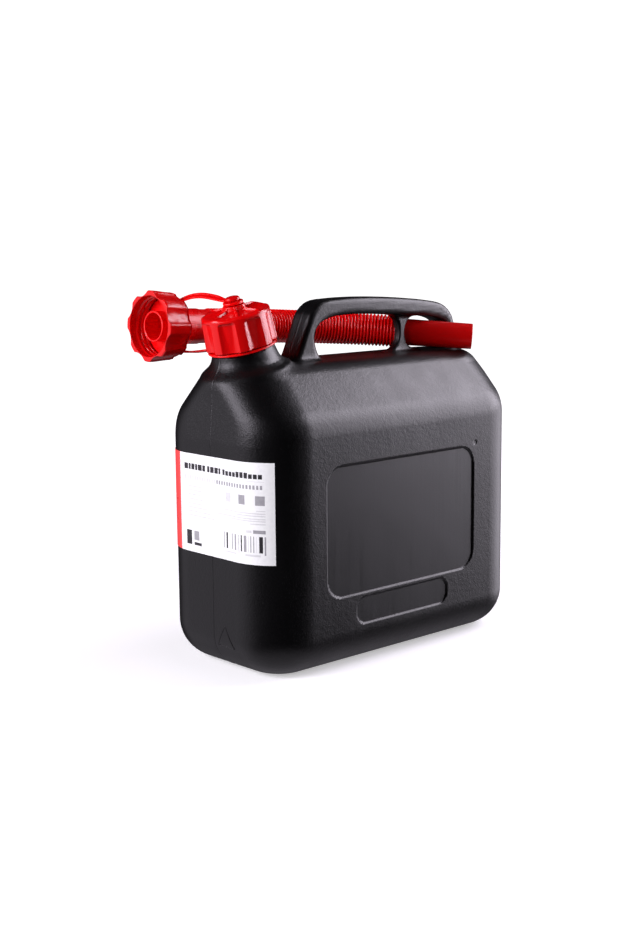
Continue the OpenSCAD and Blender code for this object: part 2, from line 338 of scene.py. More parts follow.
def boolean(ob, other, how):
    mod = ob.modifiers.new("b", "BOOLEAN")
    mod.operation = how
    mod.solver = "MANIFOLD"
    mod.object = other
    dg = bpy.context.evaluated_depsgraph_get()
    mesh = bpy.data.meshes.new_from_object(ob.evaluated_get(dg))
    ob.modifiers.remove(mod)
    ob.data = mesh
    old = other.data
    bpy.data.objects.remove(other)
    bpy.data.meshes.remove(old)
    return mesh


# ---- the blow-moulded shell -----------------------------------------------------------------

AL = math.radians(43)
GRIP_OUT = [(-62, 206), (-57, 218), (-52, 229), (-46.5, 241), (-41, 252), (-31, 259), (-14, 260.7),
            (10, 261), (36, 260), (60, 258.3), (82, 256), (99, 252.5), (109.5, 244.5), (114, 232),
            (117, 219), (121, 206)]
GRIP_IN = [(-32, 206), (-33.5, 218), (-37, 228), (-37.8, 234.5), (-34.5, 240.8), (-26.5, 245.6), (-12.5, 248.1),
           (10, 248.3), (35, 247), (58, 245.3), (80, 244), (94, 241.5), (102, 237.5),
           (104.8, 229.5), (105.2, 218), (105.2, 206)]
GRIP = np.vstack([spline(GRIP_OUT, 4), spline(GRIP_IN, 4)[::-1]])
NECK_LINE = np.array([(0, -34), (31, -34), (30.5, -18.5), (27.5, -16.5), (25.2, -13.5), (24, -10),
                      (22.4, -3.5), (22, -2.5), (21.6, -2.2), (0, -2.2)], float)
FLARE = np.array([(0, -34), (27.5, -34), (27.5, -20), (25.6, -17.6), (23.4, -14.4), (22.2, -10.4),
                  (20.4, -5), (17.6, -3.2), (17.6, 4), (0, 4)], float)


def wall_line(z, half, zc, al, rs):
    """half extent of an upright wall that bends in at height zc by the angle al, and its slope"""
    tl = rs * math.tan(al / 2)
    z1, z2 = zc - tl, zc + tl * math.cos(al)
    q = np.clip(z - z1, 0, z2 - z1)
    s = np.sqrt(rs * rs - q * q)
    w = np.where(z < z2, half - rs + s, half - (z - zc) * math.tan(al))
    return w, np.where(z < z2, q / s, math.tan(al))


def outline_distance(px, py, poly):
    d = np.full(px.shape, 1e18)
    s = np.ones(px.shape)
    for i in range(len(poly)):
        a, b = poly[i], poly[i - 1]
        e = b - a
        wx, wy = px - a[0], py - a[1]
        t = np.clip((wx * e[0] + wy * e[1]) / (e @ e), 0, 1)
        d = np.minimum(d, (wx - e[0] * t) ** 2 + (wy - e[1] * t) ** 2)
        c1, c2, c3 = py >= a[1], py < b[1], e[0] * wy > e[1] * wx
        s = np.where((c1 & c2 & c3) | (~c1 & ~c2 & ~c3), -s, s)
    return s * np.sqrt(d)


def rect(u, v, cu, cv, hu, hv, r):
    qu, qv = np.abs(u - cu) - hu + r, np.abs(v - cv) - hv + r
    return np.hypot(np.maximum(qu, 0), np.maximum(qv, 0)) + np.minimum(np.maximum(qu, qv), 0) - r


def panels(x, z):
    return np.minimum(rect(x, z, -3, 101.3, 76, 47, 14), rect(x, z, -3.4, 41.3, 47.5, 10, 9))


def edge(q1, q2, r):
    q1, q2 = q1 + r, q2 + r
    return np.hypot(np.maximum(q1, 0), np.maximum(q2, 0)) + np.minimum(np.maximum(q1, q2), 0) - r


def body(x, y, z):
    zz = np.clip(z, -5, 222)
    w, sw = wall_line(zz, 65, 180, AL, 27)
    f, sf = wall_line(zz, 130, 166, math.radians(4.4), 28)
    g, sg = wall_line(zz, 130, 200, math.radians(6.6), 28)
    e, se = np.where(x > 0, g, f), np.where(x > 0, sg, sf)
    c = np.minimum(38, 0.98 * w)
    qx, qy = np.abs(x) - (e - c), np.abs(y) - (w - c)
    px, py = np.maximum(qx, 0), np.maximum(qy, 0)
    l = np.hypot(px, py)
    flat = l + np.minimum(np.maximum(qx, qy), 0) - c
    n2 = np.where(l > 1e-9, (px / np.maximum(l, 1e-9)) ** 2, np.where(qx > qy, 1.0, 0.0))
    s = n2 * se + (1 - n2) * sw
    side = flat / np.sqrt(1 + s * s)
    top = edge(side, z - 217, 6.6 + 9.4 * n2)
    low = edge(flat, -z, 29.0)
    return np.where(z > 100, top, low)


def sink(x, y, z, grow=0.0):
    """depth of the recessed panels at a point"""
    m = (np.abs(y) > 48) & (z > 20) & (z < 160)
    out = np.zeros_like(x)
    if m.any():
        out[m] = 1.2 * smoothstep(0.65, -0.65, panels(x[m], z[m]) - grow)
    return out


def outside(x, y, z):
    f = body(x, y, z) + sink(x, y, z)
    m = (z > 196) & (np.abs(y) < 26)
    if m.any():
        a, b, c = x[m], np.abs(y[m]), z[m]
        near = (a > -75) & (a < 130)
        d = np.full(a.shape, 40.0)
        an, bn, cn = a[near], b[near], c[near]
        bar = edge(outline_distance(an, cn, GRIP), bn - 10.5, 4.0)
        web = np.maximum(rect(an, cn, 58, 230.2, 18, 18.3, 0.5),
                         np.maximum(16.5 - np.hypot(an - 40, cn - 232.5), 13.7 - np.hypot(an - 75.7, cn - 231.5)))
        web = edge(web, bn - 3.5, 1.3)
        d[near] = smin(bar, web, 3.0)
        f[m] = smin(f[m], d, 6.0)
    m = (x < -58) & (z > 180) & (np.abs(y) < 48)
    if m.any():
        q = (np.stack([x[m], y[m], z[m]], -1) - NECK_AT) @ NECK
        f[m] = smin(f[m], outline_distance(np.hypot(q[:, 0], q[:, 1]), q[:, 2], NECK_LINE), 7.0)
    f = f - 0.2 * np.exp(-(y / 0.45) ** 2) * (1 - 2 * smoothstep(95, 125, x)) * smoothstep(0.5, 2.5, z)
    dimple = np.hypot(x - 74.7, z - 150.5)
    f = f + np.where(y < -50, 0.35 * smoothstep(2.3, 1.4, dimple), 0)
    return f


def inside(x, y, z):
    f = body(x, y, z) + 1.8 + sink(x, y, z, 1.8)
    m = (x < -58) & (z > 180) & (np.abs(y) < 48)
    if m.any():
        q = (np.stack([x[m], y[m], z[m]], -1) - NECK_AT) @ NECK
        f[m] = np.minimum(f[m], outline_distance(np.hypot(q[:, 0], q[:, 1]), q[:, 2], FLARE))
    return f


def lines(lo, hi, step, bands):
    """grid lines from lo to hi, with finer bands (from, to, step)"""
    out, at = [], lo
    for a, b, s in sorted(bands) + [(hi, hi, step)]:
        n = max(1, int(round((a - at) / step)))
        out += list(np.linspace(at, a, n, endpoint=False))
        if b > a:
            n = max(1, int(round((b - a) / s)))
            out += list(np.linspace(a, b, n, endpoint=False))
        at = b
    return np.array(out + [hi])


def gradient(field, p, h=0.04):
    g = np.empty_like(p)
    for k in range(3):
        d = np.zeros(3)
        d[k] = h
        a, b = p + d, p - d
        g[:, k] = (field(a[:, 0], a[:, 1], a[:, 2]) - field(b[:, 0], b[:, 1], b[:, 2])) / (2 * h)
    return g


def net(field, X, Y, Z, steps=4):
    """surface net of field == 0 over a grid of lines: points and quads"""
    gx, gy, gz = np.meshgrid(X, Y, Z, indexing="ij")
    V = field(gx.ravel(), gy.ravel(), gz.ravel()).reshape(gx.shape)
    S = V < 0
    shape = tuple(s - 1 for s in V.shape)
    acc = np.zeros(shape + (3,))
    cnt = np.zeros(shape)
    G = (gx, gy, gz)
    crossings = []
    for ax in range(3):
        lo = [slice(None)] * 3
        hi = [slice(None)] * 3
        lo[ax], hi[ax] = slice(None, -1), slice(1, None)
        lo, hi = tuple(lo), tuple(hi)
        a, b = V[lo], V[hi]
        cross = S[lo] != S[hi]
        t = np.where(cross, a / np.where(cross, a - b, 1), 0)
        P = np.stack([G[k][lo] + (G[k][hi] - G[k][lo]) * t for k in range(3)], -1) * cross[..., None]
        o1, o2 = [k for k in range(3) if k != ax]
        for d1 in (0, 1):
            for d2 in (0, 1):
                src = [slice(None)] * 3
                src[o1] = slice(d1, shape[o1] + d1)
                src[o2] = slice(d2, shape[o2] + d2)
                acc += P[tuple(src)]
                cnt += cross[tuple(src)]
        crossings.append((ax, o1, o2, cross, S[lo]))
    used = cnt > 0
    index = np.full(shape, -1)
    index[used] = np.arange(used.sum())
    p = acc[used] / cnt[used][:, None]
    faces = []
    for ax, o1, o2, cross, inner in crossings:
        c = cross.copy()
        for o, size in ((o1, shape[o1]), (o2, shape[o2])):
            sl = [slice(None)] * 3
            sl[o] = 0
            c[tuple(sl)] = False
            sl[o] = size
            c[tuple(sl)] = False
        at = np.argwhere(c)
        s = inner[c]

        def cell(d1, d2):
            q = at.copy()
            q[:, o1] -= d1
            q[:, o2] -= d2
            return index[q[:, 0], q[:, 1], q[:, 2]]

        f = np.stack([cell(1, 1), cell(0, 1), cell(0, 0), cell(1, 0)], -1)
        flip = s if ax != 1 else ~s
        faces.append(np.where(flip[:, None], f, f[:, ::-1]))
    for _ in range(steps):
        v = field(p[:, 0], p[:, 1], p[:, 2])
        g = gradient(field, p)
        n2 = np.maximum((g * g).sum(1), 0.05)
        move = -(v / n2)[:, None] * g
        size = np.linalg.norm(move, axis=1, keepdims=True)
        p = p + move * np.minimum(1, 0.8 / np.maximum(size, 1e-9))
    return p, np.vstack(faces)


def build_shell():
    k = 1.0
    X = lines(-136, 136, 2.5 * k, [(-81.6, -62.6, 1.0 * k), (-53.2, -41.2, 1.0 * k), (34, 46.4, 1.0 * k),
                                   (55.4, 78, 1.0 * k)])
    Y = lines(-68, 68, 2.4 * k, [(-1.6, 1.6, 0.4 * k)])
    Z = lines(-2.5, 272, 2.4 * k, [(28.9, 69.5, 1.0 * k), (131.4, 153.4, 1.0 * k)])
    p, f = net(outside, X, Y, Z)
    shell = make("shell", p, f, [black, panel], smooth_angle=None)
    c = 5.0 * k
    X2, Y2, Z2 = lines(-136, 136, c, [(-125, -72, 3.0 * k)]), lines(-68, 68, c, [(-30, 30, 3.0 * k)]), \
        lines(-2.5, 245, c, [(200, 240, 2.5 * k)])
    p2, f2 = net(inside, X2, Y2, Z2)
    hollow = make("hollow", p2, f2, [black], smooth_angle=None)
    mesh = boolean(shell, hollow, "DIFFERENCE")
    n = len(mesh.vertices)
    co = np.empty(n * 3)
    mesh.vertices.foreach_get("co", co)
    co = co.reshape(-1, 3) / MM
    v = outside(co[:, 0], co[:, 1], co[:, 2])
    on = np.abs(v) < 0.12
    g = gradient(outside, co)
    g /= np.maximum(np.linalg.norm(g, axis=1, keepdims=True), 1e-9)
    g[~on] = 0
    mesh.polygons.foreach_set("use_smooth", [True] * len(mesh.polygons))
    centre = np.empty(len(mesh.polygons) * 3)
    mesh.polygons.foreach_get("center", centre)
    centre = centre.reshape(-1, 3) / MM
    inner = (np.abs(centre[:, 1]) > 62.5) & (panels(centre[:, 0], centre[:, 2]) < -0.7)
    mesh.polygons.foreach_set("material_index", inner.astype(np.int32))
    mesh.update()
    mesh.normals_split_custom_set_from_vertices(g.tolist())
    return shell


shell = build_shell()
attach(shell, "canister")

# ---- neck finish with its thread --------------------------------------------------------------

PITCH = 4.0


def helix(h, a, phase, half):
    """0 to 1: how much of a thread's crest stands at height h and angle a"""
    t = (h / PITCH - a / (2 * pi) + phase) % 1.0
    d = np.abs(t - 0.5) * PITCH
    return smoothstep(half, half * 0.35, d)


def finish_shape(R, H, A):
    crest = helix(H, A, 0.5, 1.0) * smoothstep(1.0, 3.2, H) * smoothstep(18.6, 16.4, H)
    return np.where(R > 19, R + 1.3 * crest, R), H


prof = rounded([(17.6, -2.8), (17.6, 20.6), (19.9, 20.6), (19.9, -2.8)], 0.6)
prof = dense(prof, lambda c: 0.5 if c[0] > 19 and 0.5 < c[1] < 19 else 3.0)
V, F = lathe(prof, np.linspace(0, 2 * pi, 96, endpoint=False), finish_shape, closed=True)
finish = make("neck_finish", on_neck(V), F, [black])
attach(finish, "canister")
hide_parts("canister_shell")

# ---- cap ------------------------------------------------------------------------------------


def sector_angles(phis, count=8):
    """angles round the part from the angles (degrees) on one side of a ridge"""
    half = sorted(set(phis))
    one = [-p for p in half[::-1] if p > 0] + [p for p in half if p < 180 / count]
    out = []
    for k in range(count):
        out += [math.radians(k * 360 / count + p) for p in one]
    return np.array(sorted(out))


def scoop(A, R0, deep, rs, count=8):
    """depth of a round hollow between two ridges at the angle A, and how far round it is in mm"""
    w = 2 * pi / count
    psi = np.mod(A, w) - w / 2
    D = R0 - deep + rs
    r = D * np.cos(psi) - np.sqrt(np.maximum(rs * rs - (D * np.sin(psi)) ** 2, 0))
    return np.maximum(R0 - r, 0) * (np.abs(D * np.sin(psi)) < rs), R0 * psi


def cap_shape(R, H, A):
    w = 2 * pi / 8
    phi = np.mod(A + w / 2, w) - w / 2
    # the skirt narrows a little upwards
    r, h = R - np.where(R > 22.3, 1.15 * np.clip(H, 0, 24) / 24, 0), H.copy()
    # hollows in the skirt
    deep, u = scoop(A, 25.5, 3.0, 11.5)
    d = rect(u, H, 0, 6.9, 7.3, 14.9, 3.6)
    cut = np.minimum(deep, np.maximum(-d, 0) * 1.5)
    skirt = (R > 24.9) & (H < 23.1)
    r = np.where(skirt, np.maximum(r - cut, 22.4), r)
    # the rim follows the hollows
    rim = (R > 22.6) & (R <= 24.9) & (H < 2)
    r = np.where(rim, np.minimum(r, 25.5 - deep - 0.35 * (25.5 - R)), r)
    # the shoulder is drawn in a little between the ridges, and the roof sags there
    sag = (1 - np.cos(8 * phi)) / 2
    roof = (H > 23.0) & (R > 9.3) & (R <= 25.6)
    r = np.where(roof, r - 0.5 * sag * smoothstep(16, 23, R) * smoothstep(23.0, 23.8, H), r)
    h = np.where(roof, h - 0.5 * sag * smoothstep(9.3, 15, R) * smoothstep(23.4, 24.6, H), h)
    # fins over the ridges, and ribs up the turret
    across = np.abs(R * np.sin(phi))
    mask = smoothstep(0.95, 0.5, across)
    fin = np.interp(R, [6, 9, 22.0, 23.2], [28.5, 27.2, 25.6, 24.7])
    top = (H > 24.0) & (R > 8.9) & (R < 23.4)
    h = np.where(top, h + np.maximum(fin - h, 0) * mask, h)
    rib = np.interp(H, [25.8, 26.8, 28.6], [10.2, 9.3, 7.9])
    wall = (H >= 25.6) & (H < 28.8) & (R <= 9.4) & (R > 7)
    r = np.where(wall, r + np.maximum(rib - r, 0) * mask, r)
    # thread inside
    inner = (np.abs(R - 21.8) < 0.05) & (H < 21.4)
    crest = helix(H, A, 0.0, 1.0) * smoothstep(1.2, 3.4, H) * smoothstep(18.6, 16.4, H)
    r = np.where(inner, r - 1.2 * crest, r)
    return r, h


inner = rounded([(0, 22.5), (20.7, 22.5), (21.8, 21.5), (21.8, 0.0)], 0.4)
inner = dense(inner, lambda c: 0.5 if c[0] > 21.7 else 4.0)
rim = rounded([(21.8, 0.0), (22.1, -0.0), (24.6, 0.0), (25.5, 0.55), (25.5, 4.0)], 0.5)
skirt = dense(np.array([(25.5, 4.0), (25.5, 16.0), (25.5, 22.6)]), lambda c: 0.4 if c[1] > 17 else 1.6)
shoulder = rounded([(25.5, 22.6), (25.5, 23.1), (24.9, 24.2), (23.7, 24.8), (20.0, 24.9)], 0.7)
crown = dense(np.array([(20.0, 24.9), (14.0, 25.1), (9.4, 25.5)]), 0.9)
turret = rounded([(9.4, 25.5), (8.4, 26.2), (7.7, 29.0), (5.0, 29.3), (4.0, 29.6), (4.0, 32.0), (5.2, 32.4),
                  (5.3, 33.6), (4.6, 34.5), (2.8, 35.0), (0, 35.1)],
                 [0, 0.8, 0.5, 0.3, 0.4, 0.3, 0.3, 0.4, 0.5, 1.0, 0])
turret = dense(turret, 0.6)
prof = np.vstack([inner, rim[1:], skirt[1:], shoulder[1:], crown[1:], turret[1:]])
PHI = [0, 0.9, 1.35, 1.9, 2.6, 3.4, 4.3, 5.2, 5.7, 6.0, 6.3, 6.7, 7.3, 8.2, 9.4, 10.8, 12.4, 14.2, 16.2, 18.3, 20.4, 22.5]
cap_angles = sector_angles(PHI)
V, F = lathe(prof, cap_angles, cap_shape)
cap = make("cap_screw", on_neck(np.asarray(V) @ turn((0, 0, 10)).T), F, [red], smooth_angle=50)
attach(cap, "cap")
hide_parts("cap")

V, F = lathe(dense(rounded([(0, 20.65), (20.6, 20.65), (20.6, 22.35), (0, 22.35)], 0.35), 3.0),
             np.linspace(0, 2 * pi, 72, endpoint=False))
seal = make("cap_liner", on_neck(V), F, [seal_look])
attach(seal, "cap_lift")
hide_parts("cap_seal")

# ---- nut on the stored spout ------------------------------------------------------------------


def nut_shape(R, H, A):
    r, h = R.copy(), H.copy()
    deep, u = scoop(A, 25.5, 2.9, 12.0)
    taper = 1.2 * smoothstep(0, 19, H)
    out = (R > 24.9) | ((R > 22.8) & ((H < 1.5) | (H > 16.5)))
    limit = 25.5 - deep
    r = np.where(out, np.minimum(R, limit - 0.5 * np.maximum(25.5 - R - 0.4, 0)) - taper * (R > 24.0), r)
    inner = (np.abs(R - 21.8) < 0.05)
    crest = helix(H, A, 0.25, 1.1) * smoothstep(4.2, 6.4, H) * smoothstep(14.6, 13.0, H)
    r = np.where(inner, r - 1.25 * crest, r)
    return r, h


loop = rounded([(13.3, 17.4), (20.8, 17.4), (21.8, 16.6), (21.8, 0.3), (22.1, 0.0), (24.9, 0.0), (25.5, 0.6),
                (25.5, 18.6), (24.2, 20.0), (14.0, 20.0), (13.2, 19.2), (13.2, 17.9), (13.3, 17.4)],
               [0, 0.6, 0.5, 0.2, 0.2, 0.5, 0.5, 0.8, 0.8, 0.5, 0.4, 0.3, 0])
loop = dense(loop, lambda c: 0.5 if abs(c[0] - 21.8) < 0.1 else (1.6 if c[0] > 24 else 1.5))
NPHI = [0, 1.0, 2.0, 2.8, 3.4, 4.0, 4.6, 5.4, 6.6, 8.0, 9.8, 11.8, 14.0, 16.2, 18.4, 20.5, 22.5]
V, F = lathe(loop[:-1], sector_angles(NPHI), nut_shape, closed=True)
V = np.stack([V[:, 2], V[:, 1], -V[:, 0]], -1)
nut = make("spout_nut_grip", on_spout(V), F, [red], smooth_angle=50)
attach(nut, "nut")
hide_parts("spout_nut")

# ---- flexible pipe ------------------------------------------------------------------------------

RUN, BEND_R, BEND_A, LONG, FOLD_A, FOLD_B, FOLDS = 101.0, 137.0, math.radians(48), 281.0, 54.0, 222.0, 60


def pipe_frame(s):
    a = min(max((s - RUN) / BEND_R, 0), BEND_A)
    q = max(0, s - RUN - BEND_R * BEND_A)
    c = np.array([min(s, RUN) + BEND_R * math.sin(a) + q * math.cos(a),
                  -BEND_R * (1 - math.cos(a)) - q * math.sin(a), 0])
    return c, np.array([math.sin(a), math.cos(a), 0])


def pipe(rings, sides):
    g = np.linspace(0, 2 * pi, sides, endpoint=False)
    out = []
    for s, r in rings:
        c, n = pipe_frame(s)
        out.append(c + r * (np.cos(g)[:, None] * n + np.sin(g)[:, None] * np.array([0, 0, 1.0])))
    return np.array(out).reshape(-1, 3)


outer = rounded([(4.0, 9.9), (4.0, 11.0), (15.2, 11.0), (15.2, 20.8), (16.9, 20.8), (16.9, 13.0), (43.2, 13.0),
                 (43.8, 12.5), (52.5, 12.4), (53.2, 11.2), (54.0, 11.1)],
                [0, 0.4, 0.5, 0.5, 0.5, 0.6, 0.2, 0.4, 0.5, 0.4, 0])
outer = dense(outer, lambda c: 3.0)
rings = [tuple(q) for q in outer]
step = (FOLD_B - FOLD_A) / FOLDS
for k in range(FOLDS):
    crest = 13.2 - 0.7 * (k + 0.5) / FOLDS
    for q, lift in ((0.22, 0.62), (0.36, 0.93), (0.5, 1.0), (0.64, 0.93), (0.78, 0.62), (1.0, 0.0)):
        rings.append((FOLD_A + (k + q) * step, crest - 1.7 + 1.7 * lift))
tip = rounded([(222.6, 10.9), (224.5, 10.6), (227.5, 10.4), (262.0, 10.1), (281.0, 9.95), (281.0, 8.9), (279.0, 8.9)],
              [0, 0.5, 1.0, 1.0, 0.4, 0.4, 0])
tip = dense(tip, lambda c: 4.0)
rings += [tuple(q) for q in tip]
n_out = len(rings)
for s in np.linspace(272, 30, 70):
    rings.append((float(s), float(np.interp(s, [16, 54, 225, 281], [9.6, 9.75, 9.2, 8.9]))))
rings += [(16.0, 9.6), (5.0, 9.6), (4.3, 9.7)]
SIDES = 64
V = pipe(rings, SIDES)
F = quads(len(rings), SIDES, True)
ring_s = np.array([r[0] for r in rings])
clear_from = next(i for i, r in enumerate(rings) if r[0] > 223.0)
face_ring = np.repeat(np.arange(len(rings)), SIDES)
mats = ((ring_s[face_ring] > 223.0)).astype(int)
hose = make("spout_pipe", on_spout(V), F, [red_soft, red_clear], smooth_angle=60, material_of=mats)
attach(hose, "canister")
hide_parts("spout_hose")

# ---- tether ---------------------------------------------------------------------------------------

STRAP = [(-108.7, 21.7, 227.2), (-110.5, 29, 226.2), (-112.5, 40, 225), (-113.5, 52, 225.2), (-114, 64, 228.8),
         (-114.2, 71.5, 238), (-114, 71.5, 247.5), (-113.4, 66, 255.5), (-112.6, 57, 260.5), (-111.6, 48, 263),
         (-110.6, 39.5, 264.8), (-109.4, 30, 265.3), (-108.2, 19, 264.2), (-107.2, 9.5, 262.3), (-107, 6.2, 261.9)]


def strap_mid(p):
    lean = 0 if p[2] < 250 else 13 * max(0, min(1, (60 - p[1]) / 12, (p[1] - 5) / 12))
    return np.array([-112 + lean, 50, 246.0])


line = spline(STRAP, 7)
tang = np.gradient(line, axis=0)
tang /= np.linalg.norm(tang, axis=1, keepdims=True)
section = rounded([(0, -0.8), (2.2, -0.8), (3.0, -0.45), (3.0, 0.45), (2.2, 0.8), (1.2, 0.8), (0.8, 0.5), (-0.8, 0.5),
                   (-1.2, 0.8), (-2.2, 0.8), (-3.0, 0.45), (-3.0, -0.45), (-2.2, -0.8), (0, -0.8)], 0.3, 2)[:-1]
V = []
for p, t in zip(line, tang):
    w = np.cross(t, p - strap_mid(p))
    w /= np.linalg.norm(w)
    nrm = np.cross(w, t)
    V += [p + w * a + nrm * b for a, b in section]
n = len(section)
F = quads(len(line), n).tolist()
F += [list(range(n)), [(len(line) - 1) * n + i for i in range(n - 1, -1, -1)]]
strap = make("tether", V, F, [red_soft], smooth_angle=45)
ring_prof = rounded([(20.7, -1.35), (20.7, -0.7), (24.6, -0.7), (24.6, -2.0), (20.7, -2.0), (20.7, -1.35)], 0.35, 3)
V, F = lathe(ring_prof[:-1], np.linspace(0, 2 * pi, 96, endpoint=False), closed=True)
ring = make("tether_ring", on_neck(V), F, [red_soft])
eye_prof = rounded([(4.4, 30.6), (4.4, 31.5), (7.3, 31.5), (7.3, 29.7), (4.4, 29.7), (4.4, 30.6)], 0.5, 3)
V, F = lathe(eye_prof[:-1], np.linspace(0, 2 * pi, 56, endpoint=False), closed=True)
eye = make("tether_eye", on_neck(V), F, [red_soft])
boolean(strap, ring, "UNION")
boolean(strap, eye, "UNION")
strap.data.polygons.foreach_set("use_smooth", [True] * len(strap.data.polygons))
strap.data.set_sharp_from_angle(angle=math.radians(45))
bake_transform(strap)
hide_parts("cap_tether")

# ---- small raised triangle low on the front ---------------------------------------------------------


def on_body(y, z):
    """the point of the body's front at a place across it, with the outward normal"""
    p = np.stack([np.full(len(y), -150.0), y, z], -1)
    for _ in range(60):
        p[:, 0] += np.clip(outside(p[:, 0], p[:, 1], p[:, 2]), 0.0, 8.0)
    n = gradient(outside, p)
    return p, n / np.linalg.norm(n, axis=1, keepdims=True)


tri = [(-12.5, 35.7), (-21.4, 20.3), (-3.2, 20.3)]
V, F, k = [], [], 0
path = np.vstack([np.linspace(tri[i], tri[(i + 1) % 3], 16, endpoint=False) for i in range(3)])
P, Nn = on_body(path[:, 0], path[:, 1])
T = np.roll(P, -1, 0) - np.roll(P, 1, 0)
T /= np.linalg.norm(T, axis=1, keepdims=True)
S = np.cross(Nn, T)
for p, n, q in zip(P, Nn, S):
    V += [p + q * a + n * b for a, b in ((-0.55, -0.25), (-0.3, 0.2), (0.0, 0.3), (0.3, 0.2), (0.55, -0.25))]
n = 5
F = [(i * n + j, i * n + (j + 1) % n, ((i + 1) % len(P)) * n + (j + 1) % n, ((i + 1) % len(P)) * n + j)
     for i in range(len(P)) for j in range(n)]
mark = make("raised_triangle", V, F, [black], smooth_angle=60)
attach(mark, "canister")

# ---- label ----------------------------------------------------------------------------------------

Z0, Z1, U1 = 84.3, 155.3, 58.0
marks = []  # (u0, u1, z0, z1, material index); 1 red, 2 dark, 3 grey, 4 pale
marks.append((-U1, -35.2, Z0, Z1, 1))
# heading: one dark bar made of word-like blocks, over a hairline
u = -29.2
for w in (4.2, 2.2, 3.6, 2.4, 4.4, 3.0):
    marks.append((u, u + w, 144.0, 148.2, 2))
    u += w + 0.75
u += 1.6
for w in (2.6, 4.0, 3.8, 2.0):
    marks.append((u, u + w, 144.0, 148.3, 2))
    u += w + 0.75
u += 1.6
while u < 48.6:
    w = 3.2 + 0.9 * math.sin(u * 1.7)
    marks.append((u, min(u + w, 50.5), 144.0, 148.0 if int(u) % 2 else 147.2, 2))
    u += w + 0.75
marks.append((-29.3, 50.7, 142.0, 142.3, 4))
u = -29.0
while u < 50:
    w = 2.4 + 1.1 * math.sin(u * 2.3 + 1)
    marks.append((u, min(u + w, 51.0), 136.8, 139.6, 3 if u > 5 else 4))
    u += w + 1.1
# list of short lines on the left
for z, e in ((131.9, -10.5), (129.1, -10.6), (126.1, -11.6), (122.8, -9.0), (119.5, -9.1), (116.8, -3.5), (114.0, -0.8),
             (111.0, 3.8)):
    marks.append((-28.3, -27.2, z - 0.5, z + 0.5, 4))
    marks.append((-25.5, e, z - 0.45, z + 0.45, 4))
# three plain fields
for a, b in ((16.9, 22.3), (30.2, 35.8), (44.0, 51.0)):
    marks.append((a, b, 125.8, 132.4, 3 if a > 20 else 4))
# fine lines set to the right
for z, a in ((122.0, 44.7), (120.1, 14.2), (118.4, 26.3), (116.3, 6.7), (114.8, 22.2), (112.8, 40.1)):
    marks.append((a, 51.4, z - 0.4, z + 0.4, 4))
marks.append((36.6, 41.0, 106.4, 108.2, 4))
marks.append((42.2, 51.3, 106.2, 108.6, 3))
# block of upright stripes
for a, b, low, k in ((11.0, 11.5, 91.2, 4), (14.0, 14.9, 92.8, 3), (16.8, 18.4, 92.8, 2), (20.3, 20.7, 92.8, 4),
                     (22.6, 23.6, 92.8, 3), (25.6, 27.3, 92.8, 3), (29.6, 30.2, 91.2, 3), (31.8, 33.0, 92.8, 2),
                     (34.6, 36.8, 92.8, 3), (38.0, 38.7, 92.8, 4), (39.9, 40.7, 92.8, 3), (42.2, 42.9, 92.8, 3),
                     (44.3, 44.8, 92.8, 4), (46.6, 49.4, 92.8, 2), (50.4, 51.5, 91.2, 3)):
    marks.append((a, b, low, 104.2, k))
marks.append((16.0, 27.4, 90.0, 91.3, 4))
marks.append((35.6, 47.6, 90.0, 91.4, 4))
# plain dark pair of blocks, low on the left
marks.append((-28.0, -22.2, 89.6, 99.9, 2))
marks.append((-19.6, -11.2, 89.5, 91.6, 2))
marks.append((-19.6, -13.8, 93.2, 99.9, 3))

us = {round(-U1 + 0.02, 3), round(U1, 3)} | {round(a, 3) for q in marks for a in q[:2]} | set(np.round(np.arange(-U1, U1 + 0.1, 2.0), 3))
zs = {Z0, Z1} | {round(a, 3) for q in marks for a in q[2:4]}


def thin(values, gap=0.12):
    out = []
    for v in sorted(values):
        if not out or v - out[-1] > gap:
            out.append(v)
    return np.array(out)


us, zs = thin(us), thin(zs)


def wrap(u, out):
    """a point of the front end's outline, u mm round from its middle, out mm off the wall"""
    s, a = np.sign(u), np.abs(u)
    turn_a = np.maximum(a - 27, 0) / 38.0
    x = np.where(a < 27, -130.0 - out, -92.0 - (38 + out) * np.cos(turn_a))
    y = np.where(a < 27, a, 27 + (38 + out) * np.sin(turn_a))
    return x, -s * y


def sheet_points(out):
    x, y = wrap(us, out)
    return np.stack([np.repeat(x[:, None], len(zs), 1), np.repeat(y[:, None], len(zs), 1),
                     np.repeat(zs[None, :], len(us), 0)], -1).reshape(-1, 3)


nz, nu = len(zs), len(us)
V = np.vstack([sheet_points(0.33), sheet_points(0.02)])
F, M = [], []
mu, mz = (us[:-1] + us[1:]) / 2, (zs[:-1] + zs[1:]) / 2
look = np.zeros((nu - 1, nz - 1), int)
for a, b, c, d, k in marks:
    look[np.ix_((mu > a) & (mu < b), (mz > c) & (mz < d))] = k
for i in range(nu - 1):
    for j in range(nz - 1):
        a = i * nz + j
        F.append([a, a + nz, a + nz + 1, a + 1])
        M.append(look[i, j])
        b = a + nu * nz
        F.append([b + 1, b + nz + 1, b + nz, b])
        M.append(0)
o = nu * nz
for i in range(nu - 1):
    for j in (0, nz - 1):
        a = i * nz + j
        F.append([a, a + nz, a + nz + o, a + o] if j else [a + o, a + nz + o, a + nz, a])
        M.append(look[i, min(j, nz - 2)])
for j in range(nz - 1):
    for i in (0, nu - 1):
        a = i * nz + j
        F.append([a, a + 1, a + 1 + o, a + o] if i == 0 else [a + o, a + 1 + o, a + 1, a])
        M.append(look[min(i, nu - 2), j])
label = make("front_label", V, F, [paper, paper_red, ink_dark, ink_grey, ink_pale], smooth_angle=30, material_of=M)
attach(label, "canister")
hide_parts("label")

# ---- floor and light --------------------------------------------------------------------------------


